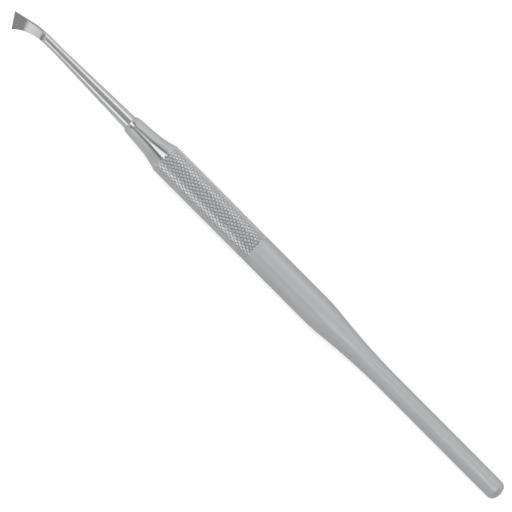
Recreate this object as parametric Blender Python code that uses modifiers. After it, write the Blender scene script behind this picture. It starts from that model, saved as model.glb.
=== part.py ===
"""Dental scaler: a one-piece stainless hand instrument.

A round handle is turned from bar, with a diamond-knurled grip, a trumpet-shaped neck and a slim rear end.
A tapered round shank runs out of the neck, is bent to one side and is forged flat into a fishtail blade,
whose face is ground hollow at its root and bevelled down to a straight cutting edge.

The handle's axis runs along X, with the blade towards -X. The instrument lies on its grip, on Z = 0,
and its origin is the middle of its footprint. All sizes are in metres.
"""

import math

import bmesh
import bpy
from mathutils import Vector

MM = 0.001

# Handle, measured from the corner where the neck meets the grip
GRIP_DIAMETER = 7.86 * MM
GRIP_LENGTH = 51.0 * MM
REAR_TAPER_LENGTH = 26.0 * MM
REAR_DIAMETER = 5.0 * MM
REAR_LENGTH = 36.9 * MM
BUTT_FILLET = 1.7 * MM
BUTT_DOME = 0.2 * MM
TAPER_SHOULDER_SHARE = 0.2

# Knurl, rolled into the front of the grip, which raises its crests
KNURL_LENGTH = 30.4 * MM
KNURL_PITCH = 1.45 * MM
KNURL_RISE = 0.07 * MM
KNURL_DEPTH = 0.24 * MM
DIAMONDS_AROUND = 26

# Neck
NECK_LENGTH = 12.0 * MM
NOSE_DIAMETER = 4.84 * MM
NOSE_FILLET = 1.2 * MM
FLARE_RADIUS = 20.0 * MM
FLARE_ANGLE = math.radians(20.5)

# Shank
SHANK_ROOT_DIAMETER = 3.7 * MM
SHANK_WAIST_DIAMETER = 2.32 * MM
SHANK_LENGTH = 24.5 * MM

# Blade
BEND_RUN_UP = 3.3 * MM
BEND_RADIUS = 18.3 * MM
BEND_ANGLE = math.radians(31.5)
BLADE_WIDTH = 4.9 * MM
BLADE_THICKNESS = 1.4 * MM
BLADE_CORNER = 0.12 * MM
BLADE_ROLL = math.radians(24.0)
FLARE_POWER = 4.8
FORGING_START = 0.27
FORGING_END = 0.59
EDGE_LAND = 0.06 * MM
BEVEL_LENGTH = 3.4 * MM
BEVEL_ANGLE = math.radians(17.0)
FACE_LENGTH = 1.8 * MM
FACE_PITCH = math.radians(4.0)
RUN_OUT_RADIUS = 5.0 * MM
RUN_OUT_ANGLE = math.radians(55.0)

# Fineness of the faces
SIDES = 2 * DIAMONDS_AROUND
BLADE_STATIONS = 15
WELD = 0.001 * MM


def arc(centre, radius, start, end, steps):
    """Points on an arc in the turning plane, as (x, r), with angles counted from +X towards +r."""
    points = []
    for index in range(steps + 1):
        angle = start + (end - start) * index / steps
        points.append((centre[0] + radius * math.cos(angle), centre[1] + radius * math.sin(angle)))
    return points


def ogee(start, end, shoulder_share, steps):
    """An S-curve between two (x, r) points, level at both ends: a convex arc and then a concave one."""
    length = end[0] - start[0]
    drop = start[1] - end[1]
    turn = 2.0 * math.atan2(drop, length)
    both_radii = length / math.sin(turn)
    convex = both_radii * shoulder_share
    concave = both_radii - convex
    shoulder_steps = max(2, round(steps * shoulder_share))
    top = math.pi / 2.0
    first = arc((start[0], start[1] - convex), convex, top, top - turn, shoulder_steps)
    second = arc((end[0], end[1] + concave), concave, -top - turn, -top, steps - shoulder_steps)
    return first + second[1:]


def knurl_rows():
    """The rings of the knurl, half a pitch apart, as X positions. The first is on the neck's corner."""
    gaps = round(KNURL_LENGTH / (KNURL_PITCH / 2.0))
    return [KNURL_LENGTH * row / gaps for row in range(gaps + 1)]


def turned_profile():
    """The handle and the shank in half section, from the shank's waist to the middle of the butt."""
    grip = GRIP_DIAMETER / 2.0
    crest = grip + KNURL_RISE
    rear = REAR_DIAMETER / 2.0
    nose = NOSE_DIAMETER / 2.0
    root = SHANK_ROOT_DIAMETER / 2.0
    waist = SHANK_WAIST_DIAMETER / 2.0
    quarter = math.pi / 2.0

    nose_centre = (NOSE_FILLET - NECK_LENGTH, nose - NOSE_FILLET)
    nose_start = math.pi - math.asin((root - nose_centre[1]) / NOSE_FILLET)
    flare_centre = (-FLARE_RADIUS * math.sin(FLARE_ANGLE), crest + FLARE_RADIUS * math.cos(FLARE_ANGLE))
    along = flare_centre[0] - nose_centre[0]
    outwards = flare_centre[1] - nose_centre[1]
    cone_angle = math.atan2(outwards, along) - math.asin((FLARE_RADIUS + NOSE_FILLET) / math.hypot(along, outwards))
    nose_arc = arc(nose_centre, NOSE_FILLET, nose_start, quarter + cone_angle, 5)
    flare = arc(flare_centre, FLARE_RADIUS, cone_angle - quarter, FLARE_ANGLE - quarter, 9)
    shank_start = nose_arc[0][0]
    shank = []
    for index in range(6):
        share = 1.0 - index / 6.0
        shank.append((shank_start - SHANK_LENGTH * share, root + (waist - root) * share))

    rows = knurl_rows()
    knurl = [(x, crest) for x in rows[1:-1]]
    knurl.append((rows[-1], grip))

    taper_end = GRIP_LENGTH + REAR_TAPER_LENGTH
    taper = ogee((GRIP_LENGTH, grip), (taper_end, rear), TAPER_SHOULDER_SHARE, 12)

    butt = taper_end + REAR_LENGTH
    fillet_centre = (butt - BUTT_DOME - BUTT_FILLET, rear - BUTT_FILLET)
    fillet = arc(fillet_centre, BUTT_FILLET, quarter, 0.0, 5)
    rim = fillet[-1][1]
    dome_radius = (rim * rim + BUTT_DOME * BUTT_DOME) / (2.0 * BUTT_DOME)
    dome_turn = math.asin(rim / dome_radius)
    dome = arc((butt - dome_radius, 0.0), dome_radius, dome_turn, 0.0, 2)

    return shank + nose_arc + flare + knurl + taper + fillet + dome[1:]


def ring_angle(index):
    """The angle of a corner of a ring about the axis, from the top. A flat, not a corner, faces straight down."""
    return 2.0 * math.pi * (index + 0.5) / SIDES


def turned_blank():
    """Turns the profile about X, and returns the mesh. It is open at the shank's waist."""
    angle = ring_angle(0)
    points = [(x, -r * math.sin(angle), r * math.cos(angle)) for x, r in turned_profile()]
    edges = [(index, index + 1) for index in range(len(points) - 1)]
    outline = bpy.data.meshes.new("turned_profile")
    outline.from_pydata(points, edges, [])
    blank = bpy.data.objects.new("turned_blank", outline)
    bpy.context.scene.collection.objects.link(blank)
    turn = blank.modifiers.new("Turn", "SCREW")
    turn.axis = "X"
    turn.steps = SIDES
    turn.render_steps = SIDES
    turn.use_merge_vertices = True
    turn.merge_threshold = WELD
    bpy.context.view_layer.update()
    graph = bpy.context.evaluated_depsgraph_get()
    turned = bpy.data.meshes.new_from_object(blank.evaluated_get(graph))
    bpy.data.objects.remove(blank)
    bpy.data.meshes.remove(outline)
    return turned


def cut_knurl(shape):
    """Cuts crossed helical grooves into the grip: each diamond keeps its crest, and the crossings drop.

    The rings are half a diamond apart, and so are the corners round a ring, so a corner is a crest where its
    ring number and its place in the ring add up to an even number, and a crossing of two grooves elsewhere.
    The grooves run out on the neck's flare at the front, and rise to the plain grip at the last ring.
    """
    rows = knurl_rows()
    row_gap = rows[1] - rows[0]
    depth_share = 1.0 - KNURL_DEPTH / (GRIP_DIAMETER / 2.0 + KNURL_RISE)
    crossings = set()
    for corner in shape.verts:
        row = round(corner.co.x / row_gap)
        if not 0 <= row < len(rows) - 1 or abs(corner.co.x - rows[row]) > WELD:
            continue
        angle = math.atan2(-corner.co.y, corner.co.z)
        place = round(angle * SIDES / (2.0 * math.pi) - 0.5)
        if (row + place) % 2 == 0:
            continue
        crossings.add(corner)
        corner.co.y *= depth_share
        corner.co.z *= depth_share
    for face in list(shape.faces):
        ring = list(face.verts)
        groove = [corner for corner in ring if corner in crossings]
        if len(ring) == 4 and len(groove) == 2:
            bmesh.utils.face_split(face, groove[0], groove[1])
        if len(ring) == 4 and len(groove) == 1:
            place = ring.index(groove[0])
            bmesh.utils.face_split(face, ring[place - 1], ring[(place + 1) % 4])


def blade_frame(distance):
    """The blade's middle line at a distance from the waist, as (point, tangent, side, up) before it is rolled."""
    turn = max(0.0, distance - BEND_RUN_UP) / BEND_RADIUS
    straight = min(distance, BEND_RUN_UP)
    waist = turned_profile()[0][0]
    point = Vector((waist - straight - BEND_RADIUS * math.sin(turn), -BEND_RADIUS * (1.0 - math.cos(turn)), 0.0))
    tangent = Vector((-math.cos(turn), -math.sin(turn), 0.0))
    side = Vector((-math.sin(turn), math.cos(turn), 0.0))
    return point, tangent, side, Vector((0.0, 0.0, 1.0))


def rolled(side, up, roll):
    """The side and up directions turned about the tangent, so that the blade's face leans to -Y."""
    across = side * math.cos(roll) + up * math.sin(roll)
    normal = up * math.cos(roll) - side * math.sin(roll)
    return across, normal


def blade_length():
    """The length of the blade's middle line, from the waist to the cutting edge."""
    return BEND_RUN_UP + BEND_RADIUS * BEND_ANGLE


def smooth(share):
    """Eases a share between 0 and 1, level at both ends, and holds it there outside them."""
    share = min(1.0, max(0.0, share))
    return share * share * (3.0 - 2.0 * share)


def blade_section(share):
    """One ring of the forged blade: a circle at the waist that turns into a flat, wide, rounded bar."""
    point, _, side, up = blade_frame(blade_length() * share)
    waist = SHANK_WAIST_DIAMETER / 2.0
    flattening = smooth((share - FORGING_START) / (FORGING_END - FORGING_START))
    across, normal = rolled(side, up, BLADE_ROLL * smooth(share / FORGING_END))
    half_width = waist + (BLADE_WIDTH / 2.0 - waist) * share**FLARE_POWER
    half_thickness = waist + (BLADE_THICKNESS / 2.0 - waist) * flattening
    corner = waist + (BLADE_CORNER - waist) * flattening
    corner = min(corner, half_width, half_thickness)
    ring = []
    for index in range(SIDES):
        angle = ring_angle(index)
        sideways = -math.sin(angle)
        upwards = math.cos(angle)
        u = math.copysign(half_width - corner, sideways) + corner * sideways
        v = math.copysign(half_thickness - corner, upwards) + corner * upwards
        ring.append(point + across * u + normal * v)
    return ring


def loft(shape, rings):
    """Joins rings of equal count with faces, and closes the last one."""
    rows = [[shape.verts.new(point) for point in ring] for ring in rings]
    for near, far in zip(rows, rows[1:]):
        for index in range(SIDES):
            following = (index + 1) % SIDES
            shape.faces.new((near[index], near[following], far[following], far[index]))
    shape.faces.new(rows[-1])


def ground_face_cutter(collection):
    """The space that grinding takes off the blade's face: its bevel, its flat and its hollow run-out."""
    point, tangent, side, up = blade_frame(blade_length())
    across, normal = rolled(side, up, BLADE_ROLL)
    clear = 3.0 * BLADE_THICKNESS
    edge_height = EDGE_LAND - BLADE_THICKNESS / 2.0
    slope = math.tan(BEVEL_ANGLE)
    heel_height = edge_height + BEVEL_LENGTH * slope
    hollow_start = BEVEL_LENGTH + FACE_LENGTH
    hollow_height = heel_height + FACE_LENGTH * math.tan(FACE_PITCH)
    quarter = math.pi / 2.0
    centre = (
        hollow_start - RUN_OUT_RADIUS * math.sin(FACE_PITCH),
        hollow_height + RUN_OUT_RADIUS * math.cos(FACE_PITCH),
    )
    hollow = arc(centre, RUN_OUT_RADIUS, FACE_PITCH - quarter, RUN_OUT_ANGLE - quarter, 12)
    top = hollow[-1][1] + clear
    outline = [(-clear, top), (-clear, edge_height - clear * slope), (BEVEL_LENGTH, heel_height)]
    outline += hollow
    outline.append((hollow[-1][0], top))
    shape = bmesh.new()
    corners = [shape.verts.new(point - tangent * along + normal * height) for along, height in outline]
    face = shape.faces.new(corners)
    bmesh.ops.translate(shape, verts=corners, vec=-across * BLADE_WIDTH)
    grown = bmesh.ops.extrude_face_region(shape, geom=[face])["geom"]
    moved = [item for item in grown if isinstance(item, bmesh.types.BMVert)]
    bmesh.ops.translate(shape, verts=moved, vec=across * BLADE_WIDTH * 2.0)
    bmesh.ops.recalc_face_normals(shape, faces=shape.faces)
    mesh = bpy.data.meshes.new("ground_face_cutter")
    shape.to_mesh(mesh)
    shape.free()
    cutter = bpy.data.objects.new("ground_face_cutter", mesh)
    cutter.hide_render = True
    cutter.display_type = "WIRE"
    collection.objects.link(cutter)
    return cutter


def steel():
    """Stainless steel with a satin finish."""
    material = bpy.data.materials.new("stainless_steel")
    material.use_nodes = True
    shader = material.node_tree.nodes["Principled BSDF"]
    shader.inputs["Base Color"].default_value = (0.60, 0.61, 0.62, 1.0)
    shader.inputs["Metallic"].default_value = 1.0
    shader.inputs["Roughness"].default_value = 0.32
    return material


def scaler_body(collection, cutter):
    """The whole instrument as one solid."""
    shape = bmesh.new()
    blank = turned_blank()
    shape.from_mesh(blank)
    bpy.data.meshes.remove(blank)
    bmesh.ops.remove_doubles(shape, verts=shape.verts, dist=WELD)
    cut_knurl(shape)
    loft(shape, [blade_section(index / BLADE_STATIONS) for index in range(BLADE_STATIONS + 1)])
    bmesh.ops.remove_doubles(shape, verts=shape.verts, dist=WELD)
    bmesh.ops.recalc_face_normals(shape, faces=shape.faces)
    mesh = bpy.data.meshes.new("scaler")
    shape.to_mesh(mesh)
    shape.free()
    mesh.shade_smooth()
    mesh.set_sharp_from_angle(angle=math.radians(30.0))
    mesh.materials.append(steel())
    body = bpy.data.objects.new("scaler", mesh)
    collection.objects.link(body)
    grind = body.modifiers.new("Grind face", "BOOLEAN")
    grind.operation = "DIFFERENCE"
    grind.solver = "EXACT"
    grind.object = cutter
    return body


def lay_down(body, cutter):
    """Lays the instrument on its grip, with the origin in the middle of its footprint."""
    bpy.context.view_layer.update()
    graph = bpy.context.evaluated_depsgraph_get()
    points = [corner.co for corner in body.evaluated_get(graph).data.vertices]
    low = [min(point[axis] for point in points) for axis in range(3)]
    high = [max(point[axis] for point in points) for axis in range(3)]
    place = Vector((-(low[0] + high[0]) / 2.0, -(low[1] + high[1]) / 2.0, -low[2]))
    body.location = place
    cutter.location = place
    bpy.context.view_layer.update()


def new_collection(name):
    """Adds a collection to the scene."""
    collection = bpy.data.collections.new(name)
    bpy.context.scene.collection.children.link(collection)
    return collection


def main():
    """Clears the scene and models the instrument."""
    for item in list(bpy.data.objects):
        bpy.data.objects.remove(item, do_unlink=True)
    parts = new_collection("dental_scaler")
    cutters = new_collection("cutters")
    cutters.hide_render = True
    cutter = ground_face_cutter(cutters)
    body = scaler_body(parts, cutter)
    lay_down(body, cutter)


main()
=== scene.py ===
"""Dental scaler: a one-piece stainless hand instrument that lies on a plain pale floor.

The handle's axis runs along X, with the blade towards -X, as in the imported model. Lengths are
in metres. Along the handle they are measured from the corner where the neck meets the grip.
"""

import logging
import math
from abc import ABC, abstractmethod
from collections.abc import Callable, Mapping, Sequence
from dataclasses import dataclass
from enum import Enum
from typing import ClassVar, Optional, Union

import bmesh
import bpy
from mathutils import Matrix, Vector


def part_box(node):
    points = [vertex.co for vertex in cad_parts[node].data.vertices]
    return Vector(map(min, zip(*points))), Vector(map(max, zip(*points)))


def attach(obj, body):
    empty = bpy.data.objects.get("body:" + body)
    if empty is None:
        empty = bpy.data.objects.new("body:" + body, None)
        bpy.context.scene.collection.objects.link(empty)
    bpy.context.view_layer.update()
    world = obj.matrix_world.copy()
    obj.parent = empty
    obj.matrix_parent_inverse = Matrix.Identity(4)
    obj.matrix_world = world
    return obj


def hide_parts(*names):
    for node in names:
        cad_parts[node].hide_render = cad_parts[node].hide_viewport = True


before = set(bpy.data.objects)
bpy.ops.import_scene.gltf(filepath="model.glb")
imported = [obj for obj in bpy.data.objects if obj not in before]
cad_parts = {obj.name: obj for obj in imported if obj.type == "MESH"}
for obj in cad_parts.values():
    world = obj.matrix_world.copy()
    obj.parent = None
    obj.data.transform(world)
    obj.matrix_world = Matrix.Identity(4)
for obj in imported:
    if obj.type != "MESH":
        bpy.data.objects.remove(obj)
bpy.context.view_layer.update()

Point = tuple[float, float]
Colour = tuple[float, float, float]

MM = 0.001
QUARTER_TURN = math.pi / 2.0
BODY = "root"
CAD_NODE = "scaler"
GRIP_DIAMETER = 7.86 * MM
SHANK_ROOT = 3.7 * MM
BLACK: Colour = (0.0, 0.0, 0.0)
WHITE: Colour = (1.0, 1.0, 1.0)
EDGE_TINT: Colour = (0.55, 0.55, 0.56)
NOISE_ROUGHNESS = 0.55
COARSE_DETAIL = 2.0
FINE_DETAIL = 3.0

log = logging.getLogger("dental_scaler")


# Shader maths


class Wire:
    """One value in a shader tree, with arithmetic that adds its Math nodes."""

    def __init__(self, graph: "Graph", socket: bpy.types.NodeSocket) -> None:
        """Keeps the tree, and the socket that the value comes out of."""
        self.graph = graph
        self.socket = socket

    def _math(self, operation: str, *values: "Union[Wire, float]") -> "Wire":
        """Adds a Math node.

        Args:
            operation: The node's operation.
            values: What goes into its sockets, in order.

        Returns:
            The node's result.
        """
        sockets = dict(enumerate(values))
        node = self.graph.node("ShaderNodeMath", {"operation": operation}, sockets)
        return Wire(self.graph, node.outputs[0])

    def __add__(self, other: "Union[Wire, float]") -> "Wire":
        """The sum of both."""
        return self._math("ADD", self, other)

    __radd__ = __add__

    def __sub__(self, other: "Union[Wire, float]") -> "Wire":
        """This value less the other."""
        return self._math("SUBTRACT", self, other)

    def __rsub__(self, other: "Union[Wire, float]") -> "Wire":
        """The other value less this one."""
        return self._math("SUBTRACT", other, self)

    def __mul__(self, other: "Union[Wire, float]") -> "Wire":
        """The product of both."""
        return self._math("MULTIPLY", self, other)

    __rmul__ = __mul__

    def __truediv__(self, other: "Union[Wire, float]") -> "Wire":
        """This value over the other."""
        return self._math("DIVIDE", self, other)

    def __rtruediv__(self, other: "Union[Wire, float]") -> "Wire":
        """The other value over this one."""
        return self._math("DIVIDE", other, self)

    def __abs__(self) -> "Wire":
        """The value without its sign."""
        return self._math("ABSOLUTE", self)

    def sine(self) -> "Wire":
        """The sine of this angle in radians."""
        return self._math("SINE", self)

    def root(self) -> "Wire":
        """The square root."""
        return self._math("SQRT", self)

    def rise(self, low: float, high: float) -> "Wire":
        """Eases from 0 to 1 between two levels of this value.

        Args:
            low: The level up to which the result is 0.
            high: The level from which the result is 1.

        Returns:
            The eased share.
        """
        settings = {"interpolation_type": "SMOOTHSTEP"}
        sockets = {"Value": self, "From Min": low, "From Max": high}
        node = self.graph.node("ShaderNodeMapRange", settings, sockets)
        return Wire(self.graph, node.outputs["Result"])

    def around_one(self, share: float) -> "Wire":
        """Turns noise from 0 to 1 into a factor that strays from 1 by a share to either side."""
        return (1.0 - share) + (2.0 * share) * self


Place = tuple[Wire, Wire, Wire]


class Graph:
    """A shader tree, and the one method that adds nodes to it."""

    def __init__(self, tree: bpy.types.NodeTree) -> None:
        """Clears the tree and keeps it."""
        self.tree = tree
        self.tree.nodes.clear()

    def node(
        self,
        kind: str,
        settings: Mapping[str, object],
        sockets: "Mapping[Union[str, int], object]",
    ) -> bpy.types.Node:
        """Adds a node.

        Args:
            kind: The node's type.
            settings: Its own properties, which are set first.
            sockets: A value or a link for each of its inputs, by name or by place.

        Returns:
            The new node.
        """
        made = self.tree.nodes.new(kind)
        for name, value in settings.items():
            setattr(made, name, value)
        for key, value in sockets.items():
            if isinstance(value, Wire):
                self.tree.links.new(value.socket, made.inputs[key])
            elif isinstance(value, bpy.types.NodeSocket):
                self.tree.links.new(value, made.inputs[key])
            else:
                made.inputs[key].default_value = value
        return made

    def coordinates(self, output: str) -> Place:
        """Splits one output of a Texture Coordinate node.

        Args:
            output: The output's name.

        Returns:
            Its X, Y and Z.
        """
        place = self.node("ShaderNodeTexCoord", {}, {})
        parts = self.node("ShaderNodeSeparateXYZ", {}, {0: place.outputs[output]})
        x, y, z = parts.outputs
        return Wire(self, x), Wire(self, y), Wire(self, z)

    def noise(
        self, place: Place, length: float, width: float, detail: float = FINE_DETAIL
    ) -> Wire:
        """Smooth noise from 0 to 1, which may be drawn out along X.

        Args:
            place: The place on the piece.
            length: The size of its spots along X.
            width: Their size across.
            detail: The count of finer layers.

        Returns:
            The noise.
        """
        x, y, z = place
        sockets = {0: x / length, 1: y / width, 2: z / width}
        spot = self.node("ShaderNodeCombineXYZ", {}, sockets)
        sockets = {
            "Vector": spot.outputs[0],
            "Scale": 1.0,
            "Detail": detail,
            "Roughness": NOISE_ROUGHNESS,
        }
        made = self.node("ShaderNodeTexNoise", {"noise_dimensions": "3D"}, sockets)
        return Wire(self, made.outputs[0])

    def blend(self, factor: Wire, first: Colour, second: Colour) -> Wire:
        """The colour between two, by the factor's share of the second."""
        sockets = {0: factor, 6: (*first, 1.0), 7: (*second, 1.0)}
        return Wire(self, self.node("ShaderNodeMix", {"data_type": "RGBA"}, sockets).outputs[2])

    def tint(self, noise: Wire, colour: Colour, share: float) -> Wire:
        """The colour, made up to a share darker and brighter by noise from 0 to 1."""
        return self.blend(noise, shade(colour, 1.0 - share), shade(colour, 1.0 + share))

    def relief(self, height: Wire, depth: float) -> Wire:
        """The surface's direction under a relief from 0 to 1 with its real depth in metres."""
        sockets = {"Strength": 1.0, "Distance": depth, "Height": height}
        return Wire(self, self.node("ShaderNodeBump", {}, sockets).outputs[0])


def shade(colour: Colour, share: float) -> Colour:
    """The colour made darker or brighter by a share."""
    return (colour[0] * share, colour[1] * share, colour[2] * share)


# Finishes


class Steel(ABC):
    """A finish of bare steel."""

    name: ClassVar[str]

    @abstractmethod
    def _sockets(self, graph: Graph) -> Mapping[str, object]:
        """Adds the finish's nodes, and returns what goes into the shader's sockets."""

    def material(self) -> bpy.types.Material:
        """Makes the finish's material.

        Returns:
            The material.
        """
        material = bpy.data.materials.new(self.name)
        material.use_nodes = True
        graph = Graph(material.node_tree)
        sockets = {"Metallic": 1.0, "Specular Tint": (*EDGE_TINT, 1.0), **self._sockets(graph)}
        shader = graph.node("ShaderNodeBsdfPrincipled", {}, sockets)
        graph.node("ShaderNodeOutputMaterial", {}, {"Surface": shader.outputs["BSDF"]})
        return material


@dataclass(frozen=True)
class Burnish:
    """The bright streak along the top of the neck, where it was rubbed smooth amid satin."""

    placement: "Placement"
    satin: float = 0.46
    bright: float = 0.13
    inner: float = 0.28
    outer: float = 0.44

    def roughness(self, place: Place) -> Wire:
        """How rough the neck is round its axis.

        Args:
            place: The place on the neck.

        Returns:
            The roughness, low near the top and the bottom.
        """
        sideways, distance = self.placement.from_axis(place)
        turned = (sideways / distance).rise(self.inner, self.outer)
        return self.bright + (self.satin - self.bright) * turned


@dataclass(frozen=True)
class PolishedSteel(Steel):
    """Bright steel with hair-fine polishing lines along the instrument."""

    name: ClassVar[str] = "polished_steel"
    colour: Colour = (0.35, 0.354, 0.359)
    colour_spread: float = 0.03
    cloud_length: float = 4.0 * MM
    cloud_width: float = 2.0 * MM
    roughness: float = 0.13
    roughness_spread: float = 0.2
    line_width: float = 0.09 * MM
    line_length: float = 7.0 * MM
    line_depth: float = 0.0009 * MM

    def _sockets(self, graph: Graph) -> Mapping[str, object]:
        """Lines along X that vary the gloss and the relief, under faint clouds of colour.

        Args:
            graph: The tree to add nodes to.

        Returns:
            What goes into the shader's sockets.
        """
        place = graph.coordinates("Object")
        lines = graph.noise(place, self.line_length, self.line_width)
        clouds = graph.noise(place, self.cloud_length, self.cloud_width, COARSE_DETAIL)
        return {
            "Base Color": graph.tint(clouds, self.colour, self.colour_spread),
            "Roughness": self.roughness * lines.around_one(self.roughness_spread),
            "Normal": graph.relief(lines, self.line_depth),
        }


@dataclass(frozen=True)
class GroundSteel(Steel):
    """Steel as a fine wheel leaves it, with short marks, and painted light and shade on each cut
    of the face.
    """

    name: ClassVar[str] = "ground_steel"
    heel: tuple[float, float, float]
    heading: tuple[float, float, float]
    face_length: float
    colour: Colour = (0.345, 0.348, 0.352)
    # Shares of the colour that paint light and shade: the bevel darkest, the face lit at its heel
    # and fading back, the run-out brightest.
    bevel_shade_share: float = 0.69
    face_light_share: float = 0.87
    run_out_light_share: float = 1.04
    heel_blend: float = 0.9 * MM
    run_out_blend: float = 0.15
    roughness: float = 0.15
    roughness_spread: float = 0.2
    mark_share: float = 0.08
    mark_width: float = 0.05 * MM
    mark_length: float = 2.0 * MM
    mark_depth: float = 0.0008 * MM

    def _painted_tone(self, back: Wire) -> Wire:
        """The painted light and shade of the face behind the heel of its bevel.

        Args:
            back: The distance behind the heel.

        Returns:
            0 on the bevel and 1 in the run-out, with a fading level between them.
        """
        levels = self.run_out_light_share - self.bevel_shade_share
        bright = (self.face_light_share - self.bevel_shade_share) / levels
        start = back.rise(-self.heel_blend, self.heel_blend)
        face = start * (1.0 - back.rise(0.0, self.face_length)) * bright
        end = (1.0 + self.run_out_blend) * self.face_length
        run_out = back.rise(self.face_length, end)
        return face * (1.0 - run_out) + run_out

    def _sockets(self, graph: Graph) -> Mapping[str, object]:
        """Short marks along the blade, and the painted light and shade of its bevel, face and
        run-out.

        Args:
            graph: The tree to add nodes to.

        Returns:
            What goes into the shader's sockets.
        """
        place = graph.coordinates("Object")
        marks = graph.noise(place, self.mark_length, self.mark_width)
        back = (self.heel[0] - place[0]) * self.heading[0]
        back = back + (self.heel[1] - place[1]) * self.heading[1]
        # Painted light and shade of each cut, with the real grinding marks mixed in.
        tone = self._painted_tone(back) * (1.0 - self.mark_share) + marks * self.mark_share
        dark = shade(self.colour, self.bevel_shade_share)
        bright = shade(self.colour, self.run_out_light_share)
        return {
            "Base Color": graph.blend(tone, dark, bright),
            "Roughness": self.roughness * marks.around_one(self.roughness_spread),
            "Normal": graph.relief(marks, self.mark_depth),
        }


@dataclass(frozen=True)
class TurnedSteel(Steel):
    """Satin steel with the faint rings of a lathe tool, burnished bright along its top."""

    name: ClassVar[str] = "turned_steel"
    burnish: Burnish
    colour: Colour = (0.375, 0.378, 0.383)
    colour_spread: float = 0.04
    drift_length: float = 0.9 * MM
    drift_width: float = 6.0 * MM
    ring_pitch: float = 0.32 * MM
    ring_drift: float = 5.0
    ring_height: float = 0.7
    grain_length: float = 0.05 * MM
    grain_width: float = 0.4 * MM
    grain_height: float = 0.5
    relief_depth: float = 0.003 * MM
    roughness_spread: float = 0.1

    def _sockets(self, graph: Graph) -> Mapping[str, object]:
        """Rings round X, broken up by slow noise, and the burnished streak.

        Args:
            graph: The tree to add nodes to.

        Returns:
            What goes into the shader's sockets.
        """
        place = graph.coordinates("Object")
        drift = graph.noise(place, self.drift_length, self.drift_width, COARSE_DETAIL)
        phase = place[0] * (2.0 * math.pi / self.ring_pitch) + drift * self.ring_drift
        rings = 0.5 + 0.5 * phase.sine()
        grain = graph.noise(place, self.grain_length, self.grain_width, COARSE_DETAIL)
        height = rings * self.ring_height + grain * self.grain_height
        roughness = self.burnish.roughness(place) * grain.around_one(self.roughness_spread)
        return {
            "Base Color": graph.tint(drift, self.colour, self.colour_spread),
            "Roughness": roughness,
            "Normal": graph.relief(height, self.relief_depth),
        }


@dataclass(frozen=True)
class SatinSteel(Steel):
    """Matt steel, blasted with fine glass beads and faintly drawn along the handle."""

    name: ClassVar[str] = "satin_steel"
    colour: Colour = (0.352, 0.356, 0.362)
    colour_spread: float = 0.06
    roughness: float = 0.5
    roughness_spread: float = 0.15
    grain_length: float = 0.24 * MM
    grain_width: float = 0.12 * MM
    grain_depth: float = 0.004 * MM
    band_length: float = 30.0 * MM
    band_width: float = 0.8 * MM
    band_share: float = 0.7

    def _sockets(self, graph: Graph) -> Mapping[str, object]:
        """Fine even grain with slow lengthwise bands.

        Args:
            graph: The tree to add nodes to.

        Returns:
            What goes into the shader's sockets.
        """
        place = graph.coordinates("Object")
        grain = graph.noise(place, self.grain_length, self.grain_width)
        bands = graph.noise(place, self.band_length, self.band_width, COARSE_DETAIL)
        tone = bands * self.band_share + grain * (1.0 - self.band_share)
        return {
            "Base Color": graph.tint(tone, self.colour, self.colour_spread),
            "Roughness": self.roughness * grain.around_one(self.roughness_spread),
            "Normal": graph.relief(grain, self.grain_depth),
        }


@dataclass(frozen=True)
class KnurledSteel(Steel):
    """Knurled steel: crests rubbed bright, and grooves that stay dull, darkened with painted
    shade.
    """

    name: ClassVar[str] = "knurled_steel"
    burnish: Burnish
    depth: float
    colour: Colour = (0.395, 0.398, 0.404)
    # The darker colour painted into the grooves as shade.
    groove_shade: Colour = (0.315, 0.316, 0.32)
    groove_start: float = 0.45
    groove_full: float = 1.05
    roughness: float = 0.27
    groove_roughness: float = 0.2
    grain_roughness: float = 0.1
    grain_width: float = 0.08 * MM
    grain_depth: float = 0.004 * MM
    corner_front: float = 0.3 * MM
    corner_back: float = 0.05 * MM

    def _sockets(self, graph: Graph) -> Mapping[str, object]:
        """Painted shade darkens the grooves below the crests, which are also duller, and the neck
        in front of its corner keeps its own finish.

        Args:
            graph: The tree to add nodes to.

        Returns:
            What goes into the shader's sockets.
        """
        place = graph.coordinates("Object")
        where = self.burnish.placement
        below = where.radius - where.from_axis(place)[1]
        corner = where.corner_x
        behind = place[0].rise(corner - self.corner_front, corner + self.corner_back)
        # The share of painted shade in the grooves below the crests, which also dulls them.
        pit = below.rise(self.groove_start * self.depth, self.groove_full * self.depth) * behind
        grain = graph.noise(place, self.grain_width, self.grain_width, COARSE_DETAIL)
        neck = self.burnish.roughness(place)
        knurl = self.roughness + self.groove_roughness * pit + self.grain_roughness * grain
        return {
            "Base Color": graph.blend(pit, self.colour, self.groove_shade),
            "Roughness": neck + (knurl - neck) * behind,
            "Normal": graph.relief(grain, self.grain_depth),
        }


# Shapes


def arc(centre: Point, radius: float, start: float, end: float, steps: int) -> list[Point]:
    """Points on an arc in the half section.

    Args:
        centre: Its centre, as a place on the axis and a distance from it.
        radius: Its radius.
        start: The angle of its first point, in radians.
        end: The angle of its last point.
        steps: The count of gaps between points.

    Returns:
        The points from start to end.
    """
    turns = [start + (end - start) * index / steps for index in range(steps + 1)]
    x, r = centre
    return [(x + radius * math.cos(turn), r + radius * math.sin(turn)) for turn in turns]


def ease(share: float) -> float:
    """Eases a share between 0 and 1, level at both ends."""
    share = min(1.0, max(0.0, share))
    return share * share * (3.0 - 2.0 * share)


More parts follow.
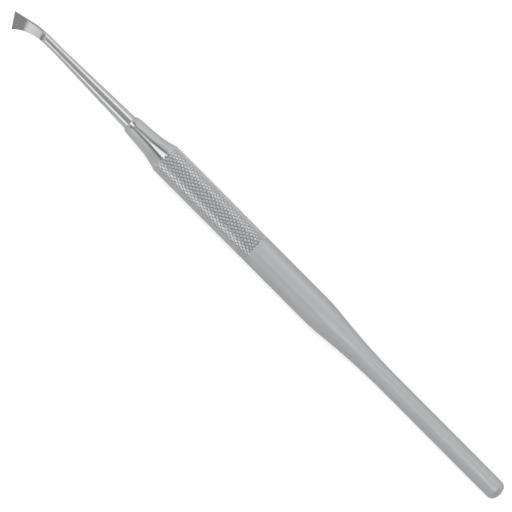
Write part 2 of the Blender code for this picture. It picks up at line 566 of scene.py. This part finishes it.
@dataclass(frozen=True)
class Placement:
    """Where the handle's axis and the corner of its neck lie, and the radius at that corner."""

    corner_x: float
    axis_y: float
    axis_z: float
    radius: float

    def point(self, x: float, sideways: float, up: float) -> Vector:
        """A place given from the neck's corner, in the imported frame."""
        return Vector((self.corner_x + x, self.axis_y + sideways, self.axis_z + up))

    def ring(self, x: float, radii: Sequence[float], start: float = 0.0) -> list[Vector]:
        """A ring round the axis.

        Args:
            x: Its place along the axis.
            radii: The radius at each of its corners.
            start: How far its first corner is turned from the top, in corners.

        Returns:
            Its corners.
        """
        places = range(len(radii))
        turns = [2.0 * math.pi * (start + place) / len(radii) for place in places]
        return [
            self.point(x, -r * math.sin(turn), r * math.cos(turn))
            for r, turn in zip(radii, turns)
        ]

    def from_axis(self, place: Place) -> tuple[Wire, Wire]:
        """Measures from the handle's axis in a shader tree.

        Args:
            place: The place on the piece.

        Returns:
            How far it lies to the side of the axis, and how far from it.
        """
        across = place[1] - self.axis_y
        up = place[2] - self.axis_z
        return abs(across), (across * across + up * up).root()


def loft(
    name: str,
    rings: Sequence[Sequence[Vector]],
    crease: float,
    rising: Optional[Callable[[int, int], bool]] = None,
) -> bpy.types.Object:
    """Joins rings of equal count into a closed piece.

    Args:
        name: The piece's name.
        rings: The rings, from one end to the other.
        crease: The angle between faces from which an edge stays sharp, in radians.
        rising: Whether the face at a row and a place is cut from its near left to its far
            right corner. Without it, no face is cut.

    Returns:
        The piece.
    """
    shape = bmesh.new()
    rows = [[shape.verts.new(point) for point in ring] for ring in rings]
    count = len(rows[0])
    for row, (near, far) in enumerate(zip(rows, rows[1:])):
        for place in range(count):
            after = (place + 1) % count
            corners = (near[place], near[after], far[after], far[place])
            if rising is None:
                shape.faces.new(corners)
            elif rising(row, place):
                shape.faces.new((corners[0], corners[1], corners[2]))
                shape.faces.new((corners[0], corners[2], corners[3]))
            else:
                shape.faces.new((corners[0], corners[1], corners[3]))
                shape.faces.new((corners[1], corners[2], corners[3]))
    shape.faces.new(rows[0])
    shape.faces.new(rows[-1])
    bmesh.ops.recalc_face_normals(shape, faces=shape.faces)
    mesh = bpy.data.meshes.new(name)
    shape.to_mesh(mesh)
    shape.free()
    mesh.shade_smooth()
    mesh.set_sharp_from_angle(angle=crease)
    piece = bpy.data.objects.new(name, mesh)
    bpy.context.scene.collection.objects.link(piece)
    return piece


def dress(piece: bpy.types.Object, *materials: bpy.types.Material) -> bpy.types.Object:
    """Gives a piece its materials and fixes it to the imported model.

    Args:
        piece: The piece.
        materials: Its materials, in the order of its slots.

    Returns:
        The same piece.
    """
    for material in materials:
        piece.data.materials.append(material)
    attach(piece, BODY)
    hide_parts(CAD_NODE)
    return piece


def carve(piece: bpy.types.Object, cutter: bpy.types.Object) -> None:
    """Cuts a shape out of a piece for good, and removes the shape.

    Args:
        piece: The piece, which takes the cutter's material on the faces of the cut.
        cutter: The shape to cut away.
    """
    cut = piece.modifiers.new("Grind face", "BOOLEAN")
    cut.operation = "DIFFERENCE"
    cut.solver = "EXACT"
    cut.material_mode = "TRANSFER"
    cut.object = cutter
    bpy.context.view_layer.update()
    graph = bpy.context.evaluated_depsgraph_get()
    carved = bpy.data.meshes.new_from_object(piece.evaluated_get(graph))
    piece.modifiers.clear()
    piece.data = carved
    carved.name = piece.name
    bpy.data.objects.remove(cutter)


# Sub-assemblies


@dataclass(frozen=True)
class Flare:
    """The hollow arc that widens the neck up to the corner of the knurl."""

    corner: float
    radius: float = 20.0 * MM
    slope: float = math.radians(20.5)
    front_slope: float = math.radians(5.5)

    def centre(self) -> Point:
        """The arc's centre in the half section."""
        x = -self.radius * math.sin(self.slope)
        return x, self.corner + self.radius * math.cos(self.slope)

    def at(self, x: float) -> float:
        """The distance of the flare's surface from the axis."""
        across, middle = self.centre()
        return middle - math.sqrt(self.radius**2 - (x - across) ** 2)


@dataclass
class Neck:
    """The trumpet-shaped neck with its rounded nose, turned on a lathe."""

    placement: Placement
    flare: Flare
    end: float
    nose_diameter: float = 4.84 * MM
    nose_place: float = 10.35 * MM
    nose_slope: float = math.radians(2.5)
    shoulder_radius: float = 5.0 * MM
    shoulder_slope: float = math.radians(16.0)
    nose_fillet: float = 0.75 * MM
    shank_root: float = SHANK_ROOT
    fillet_steps: int = 14
    shoulder_steps: int = 16
    barrel_steps: int = 32
    flare_steps: int = 36
    sides: int = 208
    crease: float = math.radians(25.0)

    def _nose(self) -> list[Point]:
        """The nose: a tight fillet up from the shank's surface, and a wide shoulder.

        Returns:
            Its points, from the shank to the barrel.
        """
        low = QUARTER_TURN + self.shoulder_slope
        high = QUARTER_TURN + self.nose_slope
        shoulder = (
            -self.nose_place + self.shoulder_radius * math.sin(self.nose_slope),
            self.nose_diameter / 2.0 - self.shoulder_radius * math.cos(self.nose_slope),
        )
        rounded = arc(shoulder, self.shoulder_radius, low, high, self.shoulder_steps)
        x, r = rounded[0]
        fillet = (
            x + self.nose_fillet * math.sin(self.shoulder_slope),
            r - self.nose_fillet * math.cos(self.shoulder_slope),
        )
        start = math.pi - math.asin((self.shank_root / 2.0 - fillet[1]) / self.nose_fillet)
        return arc(fillet, self.nose_fillet, start, low, self.fillet_steps) + rounded[1:]

    def _barrel(self) -> list[Point]:
        """The nearly straight front of the neck, between the nose's shoulder and the flare.

        Returns:
            Its points, from the nose to the flare.
        """
        across, middle = self.flare.centre()
        front_x = -self.nose_place
        front_r = self.nose_diameter / 2.0
        run = across + self.flare.radius * math.sin(self.flare.front_slope) - front_x
        climb = middle - self.flare.radius * math.cos(self.flare.front_slope) - front_r
        straight = climb / run
        points = []
        for index in range(self.barrel_steps + 1):
            share = index / self.barrel_steps
            bow = (math.tan(self.nose_slope) - straight) * (1.0 - share) ** 2 * share
            bow += (straight - math.tan(self.flare.front_slope)) * share**2 * (1.0 - share)
            points.append((front_x + run * share, front_r + climb * share + bow * run))
        return points

    def profile(self) -> list[Point]:
        """The half section.

        Returns:
            Its points, from the shank's surface to the knurl.
        """
        centre = self.flare.centre()
        first = self.flare.front_slope - QUARTER_TURN
        last = math.asin((self.end - centre[0]) / self.flare.radius) - QUARTER_TURN
        flare = arc(centre, self.flare.radius, first, last, self.flare_steps)
        return self._nose() + self._barrel()[1:] + flare[1:]

    def build(self) -> bpy.types.Object:
        """Builds and dresses the neck.

        Returns:
            The piece.
        """
        rings = [self.placement.ring(x, [r] * self.sides) for x, r in self.profile()]
        finish = TurnedSteel(Burnish(self.placement))
        return dress(loft("neck", rings, self.crease), finish.material())


@dataclass
class KnurledGrip:
    """The front of the grip, with crossed helical grooves that leave rows of diamonds."""

    placement: Placement
    flare: Flare
    length: float = 30.4 * MM
    end: float = 30.42 * MM
    plain_diameter: float = GRIP_DIAMETER
    diamond_rows: int = 21
    diamonds_around: int = 26
    start_turn: float = 0.25
    depth: float = 0.15 * MM
    groove_share: float = 0.5
    crest_run_out: float = 2.5
    fineness: int = 8
    run_out_rings: int = 5
    crease: float = math.radians(20.0)

    def _step(self) -> float:
        """The distance between rings."""
        return self.length / (self.diamond_rows * self.fineness)

    def front(self) -> float:
        """The place on the neck's flare where the grooves have run out."""
        return -self._step() * self.run_out_rings

    def _groove(self, place: float) -> float:
        """The share of the full depth at a place across the grooves, counted in diamonds."""
        off = abs(place - math.floor(place) - 0.5)
        return max(0.0, 1.0 - off / (self.groove_share / 2.0))

    def _ring(self, row: int) -> list[Vector]:
        """One ring of the knurl, with its radii lowered by the grooves.

        Args:
            row: Its number, counted from the neck's corner.

        Returns:
            Its corners.
        """
        x = self._step() * row
        along = row / self.fineness
        left = self.diamond_rows - along
        plain = self.plain_diameter / 2.0
        crest = plain + (self.placement.radius - plain) * min(1.0, left / self.crest_run_out)
        limit = self.flare.at(x) if row < 0 else crest
        radii = []
        for place in range(self.diamonds_around * self.fineness):
            around = place / self.fineness - self.start_turn
            cut = max(self._groove(around + along), self._groove(around - along))
            radii.append(min(limit, crest - self.depth * cut))
        return self.placement.ring(x, radii)

    def _rising(self, row: int, place: int) -> bool:
        """Whether a face is cut along the left-hand grooves."""
        around = place - round(self.start_turn * self.fineness)
        return (row - self.run_out_rings - around) % self.fineness == self.fineness // 2

    def build(self) -> bpy.types.Object:
        """Builds and dresses the knurled grip.

        Returns:
            The piece.
        """
        rows = range(-self.run_out_rings, self.diamond_rows * self.fineness + 1)
        rings = [self._ring(row) for row in rows]
        plain = [self.plain_diameter / 2.0] * len(rings[0])
        rings.append(self.placement.ring(self.end, plain))
        piece = loft("knurled_grip", rings, self.crease, self._rising)
        finish = KnurledSteel(Burnish(self.placement), self.depth)
        return dress(piece, finish.material())


@dataclass
class RearHandle:
    """The plain end of the grip, its ogee taper, the slim rear and the rounded butt."""

    placement: Placement
    start: float
    grip_end: float = 51.0 * MM
    grip_diameter: float = GRIP_DIAMETER
    taper_length: float = 26.0 * MM
    rear_length: float = 36.9 * MM
    rear_diameter: float = 5.0 * MM
    shoulder_share: float = 0.2
    butt_fillet: float = 1.7 * MM
    butt_dome: float = 0.2 * MM
    centre_share: float = 0.04
    shoulder_steps: int = 16
    hollow_steps: int = 48
    fillet_steps: int = 20
    dome_steps: int = 10
    sides: int = 208
    crease: float = math.radians(30.0)
    finish: SatinSteel = SatinSteel()

    def _taper(self) -> list[Point]:
        """The S-curve between the grip and the rear: a short shoulder and a long hollow.

        Returns:
            Its points, from the grip to the rear.
        """
        grip = self.grip_diameter / 2.0
        rear = self.rear_diameter / 2.0
        turn = 2.0 * math.atan2(grip - rear, self.taper_length)
        both = self.taper_length / math.sin(turn)
        convex = both * self.shoulder_share
        concave = both - convex
        top = QUARTER_TURN
        centre = (self.grip_end, grip - convex)
        shoulder = arc(centre, convex, top, top - turn, self.shoulder_steps)
        centre = (self.grip_end + self.taper_length, rear + concave)
        hollow = arc(centre, concave, -top - turn, -top, self.hollow_steps)
        return shoulder + hollow[1:]

    def _butt(self) -> list[Point]:
        """The fillet and the shallow dome of the butt.

        Returns:
            Its points, from the rear nearly to the axis.
        """
        end = self.grip_end + self.taper_length + self.rear_length
        rim = self.rear_diameter / 2.0 - self.butt_fillet
        centre = (end - self.butt_dome - self.butt_fillet, rim)
        fillet = arc(centre, self.butt_fillet, QUARTER_TURN, 0.0, self.fillet_steps)
        radius = (rim * rim + self.butt_dome * self.butt_dome) / (2.0 * self.butt_dome)
        turn = math.asin(rim / radius)
        last = turn * self.centre_share
        dome = arc((end - radius, 0.0), radius, turn, last, self.dome_steps)
        return fillet + dome[1:]

    def build(self) -> bpy.types.Object:
        """Builds and dresses the rear of the handle.

        Returns:
            The piece.
        """
        points = [(self.start, self.grip_diameter / 2.0), *self._taper(), *self._butt()]
        rings = [self.placement.ring(x, [r] * self.sides) for x, r in points]
        return dress(loft("rear_handle", rings, self.crease), self.finish.material())


class Surface(Enum):
    """The finishes of the working end, as places in its list of materials."""

    POLISHED = 0
    GROUND = 1


@dataclass
class WorkingEnd:
    """The tapered shank, its bend, and the forged fishtail blade with its ground face."""

    placement: Placement
    shank_start: float = -11.821 * MM
    shank_root: float = SHANK_ROOT
    waist: float = 2.32 * MM
    shank_length: float = 24.5 * MM
    bend_run_up: float = 3.3 * MM
    bend_radius: float = 18.3 * MM
    bend_angle: float = math.radians(31.5)
    blade_width: float = 4.9 * MM
    blade_thickness: float = 1.4 * MM
    blade_corner: float = 0.12 * MM
    blade_roll: float = math.radians(24.0)
    flare_power: float = 4.8
    forging_start: float = 0.38
    forging_end: float = 0.62
    edge_land: float = 0.06 * MM
    bevel_length: float = 4.0 * MM
    bevel_angle: float = math.radians(17.5)
    heel_rounding: float = 0.9 * MM
    face_length: float = 4.0 * MM
    face_height: float = 0.45 * MM
    run_out_radius: float = 2.2 * MM
    run_out_angle: float = math.radians(55.0)
    run_out_roll: float = math.radians(33.0)
    wall_turn: float = 0.7
    cutter_depths: float = 3.0
    cutter_widths: float = 0.7
    cutter_lead: int = 8
    cutter_rows: int = 72
    cutter_columns: int = 32
    heel_samples: int = 4
    shank_steps: int = 24
    stations: int = 90
    sides: int = 208
    crease: float = math.radians(8.0)
    polished: PolishedSteel = PolishedSteel()

    def blade_length(self) -> float:
        """The length of the blade's middle line, from the waist to the cutting edge."""
        return self.bend_run_up + self.bend_radius * self.bend_angle

    def frame_at(self, distance: float) -> tuple[Vector, Vector, Vector, Vector]:
        """The blade's middle line.

        Args:
            distance: How far along it from the waist.

        Returns:
            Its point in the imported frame, and the directions along it, sideways and up.
        """
        turn = max(0.0, distance - self.bend_run_up) / self.bend_radius
        straight = min(distance, self.bend_run_up)
        x = self.shank_start - self.shank_length - straight - self.bend_radius * math.sin(turn)
        point = self.placement.point(x, -self.bend_radius * (1.0 - math.cos(turn)), 0.0)
        tangent = Vector((-math.cos(turn), -math.sin(turn), 0.0))
        side = Vector((-math.sin(turn), math.cos(turn), 0.0))
        return point, tangent, side, Vector((0.0, 0.0, 1.0))

    @staticmethod
    def rolled(side: Vector, up: Vector, roll: float) -> tuple[Vector, Vector]:
        """The side and up directions turned about the blade, so that its face leans to -Y."""
        across = side * math.cos(roll) + up * math.sin(roll)
        return across, up * math.cos(roll) - side * math.sin(roll)

    def section(self, share: float) -> list[Vector]:
        """One ring of the forging: round at the waist, and flat, wide and square at the edge.

        Args:
            share: Its place on the middle line, from 0 at the waist to 1 at the edge.

        Returns:
            Its corners.
        """
        point, _, side, up = self.frame_at(self.blade_length() * share)
        waist = self.waist / 2.0
        flattening = ease((share - self.forging_start) / (self.forging_end - self.forging_start))
        across, normal = self.rolled(side, up, self.blade_roll * ease(share / self.forging_end))
        half_width = waist + (self.blade_width / 2.0 - waist) * share**self.flare_power
        half_thickness = waist + (self.blade_thickness / 2.0 - waist) * flattening
        corner = min(waist + (self.blade_corner - waist) * flattening, half_width, half_thickness)
        ring = []
        for index in range(self.sides):
            turn = 2.0 * math.pi * (index + 0.5) / self.sides
            sideways = -math.sin(turn)
            upwards = math.cos(turn)
            u = math.copysign(half_width - corner, sideways) + corner * sideways
            v = math.copysign(half_thickness - corner, upwards) + corner * upwards
            ring.append(point + across * u + normal * v)
        return ring

    def _shank_rings(self) -> list[list[Vector]]:
        """The tapered round shank.

        Returns:
            Its rings, from inside the nose to just before the waist.
        """
        rings = []
        for index in range(-1, self.shank_steps):
            x = self.shank_start - self.shank_length * index / self.shank_steps
            narrowing = (self.waist - self.shank_root) * index / self.shank_steps
            radius = (self.shank_root + narrowing) / 2.0
            rings.append(self.placement.ring(x, [radius] * self.sides, 0.5))
        return rings

    def _bevel(self) -> tuple[Vector, Vector, Vector, Vector]:
        """The flat bevel.

        Returns:
            The middles of its edge and of its heel, and the directions of both lines.
        """
        point, tangent, side, up = self.frame_at(self.blade_length())
        along_edge, normal = self.rolled(side, up, self.blade_roll)
        edge = point + normal * (self.edge_land - self.blade_thickness / 2.0)
        facing = normal * math.cos(self.bevel_angle) + tangent * math.sin(self.bevel_angle)
        point, _, side, up = self.frame_at(self.blade_length() - self.bevel_length)
        along_heel, normal = self.rolled(side, up, self.blade_roll)
        heel = point + normal * (facing.dot(edge - point) / facing.dot(normal))
        along_heel -= facing * facing.dot(along_heel)
        return edge, heel, along_edge, along_heel.normalized()

    def _ground_line(self, back: float) -> tuple[Vector, Vector]:
        """One straight line of the ground face.

        Args:
            back: How far behind the cutting edge, along the blade's middle line.

        Returns:
            The line's middle, and its direction across the blade.
        """
        edge, heel, along_edge, along_heel = self._bevel()
        if back <= self.bevel_length:
            share = back / self.bevel_length
            turned = max(0.0, share)
            across = along_edge * (1.0 - turned) + along_heel * turned
            return edge + (heel - edge) * share, across.normalized()
        point, _, side, up = self.frame_at(self.blade_length() - self.bevel_length)
        roll = math.atan2(along_heel.dot(up), along_heel.dot(side))
        low = (heel - point).dot(self.rolled(side, up, roll)[1])
        share = min(1.0, (back - self.bevel_length) / self.face_length)
        roll += (self.run_out_roll - roll) * share
        height = low + (self.face_height - low) * share
        climb = max(0.0, back - self.bevel_length - self.face_length)
        steep = self.run_out_radius * math.sin(self.run_out_angle)
        height += self.run_out_radius - math.sqrt(self.run_out_radius**2 - min(climb, steep) ** 2)
        height += max(0.0, climb - steep) * math.tan(self.run_out_angle)
        point, _, side, up = self.frame_at(self.blade_length() - back)
        across, normal = self.rolled(side, up, roll)
        return point + normal * height, across

    @staticmethod
    def _same_cut(row: int, place: int) -> bool:
        """Cuts every face of the grinding in the same direction."""
        return True

    def _cutter(self) -> bpy.types.Object:
        """The space that grinding takes off the blade's face, with the heel rounded.

        Returns:
            A shape to cut away.
        """
        _, _, side, up = self.frame_at(self.blade_length())
        normal = self.rolled(side, up, self.blade_roll)[1]
        away = normal * (self.cutter_depths * self.blade_thickness)
        reach = self.cutter_widths * self.blade_width
        length = self.bevel_length + self.face_length + 2.0 * self.run_out_radius
        columns = range(self.cutter_columns + 1)
        shares = [2.0 * column / self.cutter_columns - 1.0 for column in columns]
        samples = range(-self.heel_samples, self.heel_samples + 1)
        offsets = [self.heel_rounding * sample / self.heel_samples for sample in samples]
        rings = []
        for row in range(-self.cutter_lead, self.cutter_rows + 1):
            back = row * length / self.cutter_rows
            near = [self._ground_line(back + offset) for offset in offsets]
            middle = sum((line[0] for line in near), Vector()) / len(near)
            across = sum((line[1] for line in near), Vector()).normalized() * reach
            line = [middle + across * share for share in shares]
            rings.append([*line, line[-1] + away, line[0] + away])
        return loft("grinding", rings, self.crease, self._same_cut)

    def _finish_walls(self, mesh: bpy.types.Mesh) -> None:
        """Gives the blade's side walls the ground finish, as far back as the face reaches.

        Args:
            mesh: The carved mesh.
        """
        edge, heading, side, up = self.frame_at(self.blade_length())
        across, _ = self.rolled(side, up, self.blade_roll)
        reach = self.bevel_length + self.face_length
        for face in mesh.polygons:
            back = (edge - face.center).dot(heading)
            if back < reach and abs(face.normal.dot(across)) > self.wall_turn:
                face.material_index = Surface.GROUND.value

    def build(self) -> bpy.types.Object:
        """Builds, grinds and dresses the shank and the blade.

        Returns:
            The piece.
        """
        rings = self._shank_rings()
        rings += [self.section(index / self.stations) for index in range(self.stations + 1)]
        piece = loft("shank_and_blade", rings, self.crease)
        cutter = self._cutter()
        heading = self.frame_at(self.blade_length() - self.bevel_length)[1]
        ground = GroundSteel(tuple(self._bevel()[1]), tuple(heading), self.face_length)
        materials = {Surface.POLISHED: self.polished.material(), Surface.GROUND: ground.material()}
        for surface in Surface:
            piece.data.materials.append(materials[surface])
        cutter.data.materials.append(materials[Surface.GROUND])
        carve(piece, cutter)
        self._finish_walls(piece.data)
        piece.data.shade_smooth()
        piece.data.set_sharp_from_angle(angle=self.crease)
        return dress(piece)


# Studio


class LampShape(Enum):
    """The outlines of a soft light."""

    RECTANGLE = "RECTANGLE"
    ELLIPSE = "ELLIPSE"


@dataclass(frozen=True)
class Softbox:
    """A soft light, by the direction in degrees that it shines from, and its size in metres."""

    name: str
    shape: LampShape
    lean: float
    heading: float
    level: float
    wide: float
    high: float
    shift: float = 0.0
    distance: float = 1.2

    def build(self) -> None:
        """Makes the light, turned to the instrument."""
        heading = math.radians(self.heading)
        sideways = math.sin(math.radians(self.lean))
        up = math.cos(math.radians(self.lean))
        away = Vector((sideways * math.cos(heading), sideways * math.sin(heading), up))
        lamp = bpy.data.lights.new(self.name, "AREA")
        lamp.shape = self.shape.value
        lamp.size = self.wide
        lamp.size_y = self.high
        rounded = math.pi / 4.0 if self.shape is LampShape.ELLIPSE else 1.0
        lamp.energy = self.level * math.pi * (self.wide * self.high * rounded)
        light = bpy.data.objects.new(self.name, lamp)
        light.rotation_mode = "QUATERNION"
        light.rotation_quaternion = away.to_track_quat("Z", "Y")
        light.location = away * self.distance + Vector((self.shift, 0.0, 0.0))
        bpy.context.scene.collection.objects.link(light)


@dataclass
class Studio:
    """A white floor, a pale surround with a dimmer band overhead, and the soft lights."""

    floor_size: float = 6.0
    floor_white: float = 0.8
    floor_glow: float = 0.28
    surround: float = 1.04
    lean: float = 0.36
    band: float = 0.78
    band_tipward: float = 0.42
    band_inner: float = 0.40
    band_outer: float = 0.50
    band_spread: float = 0.26
    tipward_full: float = -0.30
    tipward_start: float = -0.15
    lights: tuple[Softbox, ...] = (
        Softbox(
            "softbox_right", LampShape.RECTANGLE,
            lean=53.0, heading=90.0, level=1.0, wide=0.43, high=0.66, shift=-0.055,
        ),
        Softbox(
            "softbox_left", LampShape.RECTANGLE,
            lean=54.0, heading=-90.0, level=1.35, wide=0.41, high=0.85, shift=-0.065,
        ),
        Softbox(
            "softbox_tip", LampShape.ELLIPSE,
            lean=43.5, heading=172.0, level=1.75, wide=0.66, high=1.38,
        ),
        Softbox(
            "softbox_tip_low", LampShape.RECTANGLE,
            lean=68.0, heading=180.0, level=1.2, wide=1.3, high=0.8, distance=1.25,
        ),
        Softbox(
            "softbox_top", LampShape.ELLIPSE,
            lean=18.0, heading=0.0, level=4.6, wide=0.6, high=0.34,
        ),
    )

    def _floor(self) -> None:
        """Makes a plain white floor, with a faint glow wherever it is seen."""
        half = self.floor_size / 2.0
        corners = [(-half, -half, 0.0), (half, -half, 0.0), (half, half, 0.0), (-half, half, 0.0)]
        mesh = bpy.data.meshes.new("floor")
        mesh.from_pydata(corners, [], [(0, 1, 2, 3)])
        floor = bpy.data.objects.new("floor", mesh)
        bpy.context.scene.collection.objects.link(floor)
        material = bpy.data.materials.new("white_floor")
        material.use_nodes = True
        graph = Graph(material.node_tree)
        path = graph.node("ShaderNodeLightPath", {}, {}).outputs
        seen = Wire(graph, path["Is Camera Ray"]) + Wire(graph, path["Is Glossy Ray"])
        seen = seen + Wire(graph, path["Is Transmission Ray"])
        sockets = {
            "Base Color": (*shade(WHITE, self.floor_white), 1.0),
            "Roughness": 1.0,
            "Specular IOR Level": 0.0,
            "Emission Color": graph.blend(seen, BLACK, shade(WHITE, self.floor_glow)),
            "Emission Strength": 1.0,
        }
        shader = graph.node("ShaderNodeBsdfPrincipled", {}, sockets)
        graph.node("ShaderNodeOutputMaterial", {}, {"Surface": shader.outputs["BSDF"]})
        mesh.materials.append(material)

    def _surround(self) -> None:
        """Lights the scene from all round, and less from a band overhead along the instrument."""
        world = bpy.data.worlds.new("pale_surround")
        world.use_nodes = True
        bpy.context.scene.world = world
        graph = Graph(world.node_tree)
        along, across, _ = graph.coordinates("Generated")
        tipward = 1.0 - along.rise(self.tipward_full, self.tipward_start)
        spread = tipward * (0.5 * self.band_spread)
        inside = 1.0 - (abs(across - spread) - spread).rise(self.band_inner, self.band_outer)
        depth = self.surround - self.band + (self.band - self.band_tipward) * tipward
        level = self.surround + self.lean * (across * abs(across)) - depth * inside
        sockets = {"Color": (*WHITE, 1.0), "Strength": level}
        shader = graph.node("ShaderNodeBackground", {}, sockets)
        graph.node("ShaderNodeOutputWorld", {}, {"Surface": shader.outputs[0]})

    def build(self) -> None:
        """Makes the floor, the surround and the lights."""
        self._floor()
        self._surround()
        for light in self.lights:
            light.build()
        bpy.context.scene.view_settings.view_transform = "Standard"


@dataclass(frozen=True)
class Viewpoint:
    """The photograph's camera: straight above, with the instrument lying corner to corner."""

    placement: Placement
    centre: Point = (31.977 * MM, -1.108 * MM)
    turn: float = math.radians(45.14)
    lens: float = 200.0
    sensor: float = 36.0
    view_width: float = 122.88 * MM
    focus_height: float = 4.0 * MM
    near: float = 0.01
    far: float = 20.0

    def build(self) -> None:
        """Makes the camera and sets it as the scene's own."""
        data = bpy.data.cameras.new("camera")
        data.type = "PERSP"
        data.lens = self.lens
        data.sensor_width = self.sensor
        data.clip_start = self.near
        data.clip_end = self.far
        camera = bpy.data.objects.new("camera", data)
        distance = self.view_width * self.lens / self.sensor
        x, y, _ = self.placement.point(*self.centre, 0.0)
        camera.location = (x, y, self.focus_height + distance)
        camera.rotation_euler = (0.0, 0.0, self.turn)
        bpy.context.scene.collection.objects.link(camera)
        bpy.context.scene.camera = camera


def find_placement(reach: float = 113.9 * MM) -> Placement:
    """Finds the handle's axis and the neck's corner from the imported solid.

    Args:
        reach: The distance from the neck's corner to the end of the butt.

    Returns:
        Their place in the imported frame.
    """
    low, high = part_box(CAD_NODE)
    radius = (high.z - low.z) / 2.0
    return Placement(high.x - reach, high.y - radius, low.z + radius, radius)


def report(piece: bpy.types.Object) -> None:
    """Logs a piece's name, size and count of faces."""
    size = ", ".join(f"{side / MM:.2f}" for side in piece.dimensions)
    log.info("%s: %s mm, %d faces", piece.name, size, len(piece.data.polygons))


def main() -> None:
    """Builds the studio and the instrument, and reports each piece."""
    logging.basicConfig(level=logging.INFO, format="%(name)s: %(message)s")
    where = find_placement()
    Viewpoint(where).build()
    Studio().build()
    flare = Flare(where.radius)
    knurl = KnurledGrip(where, flare)
    neck = Neck(where, flare, knurl.front())
    report(neck.build())
    report(knurl.build())
    report(RearHandle(where, knurl.end).build())
    report(WorkingEnd(where).build())


if __name__ == "__main__":
    main()
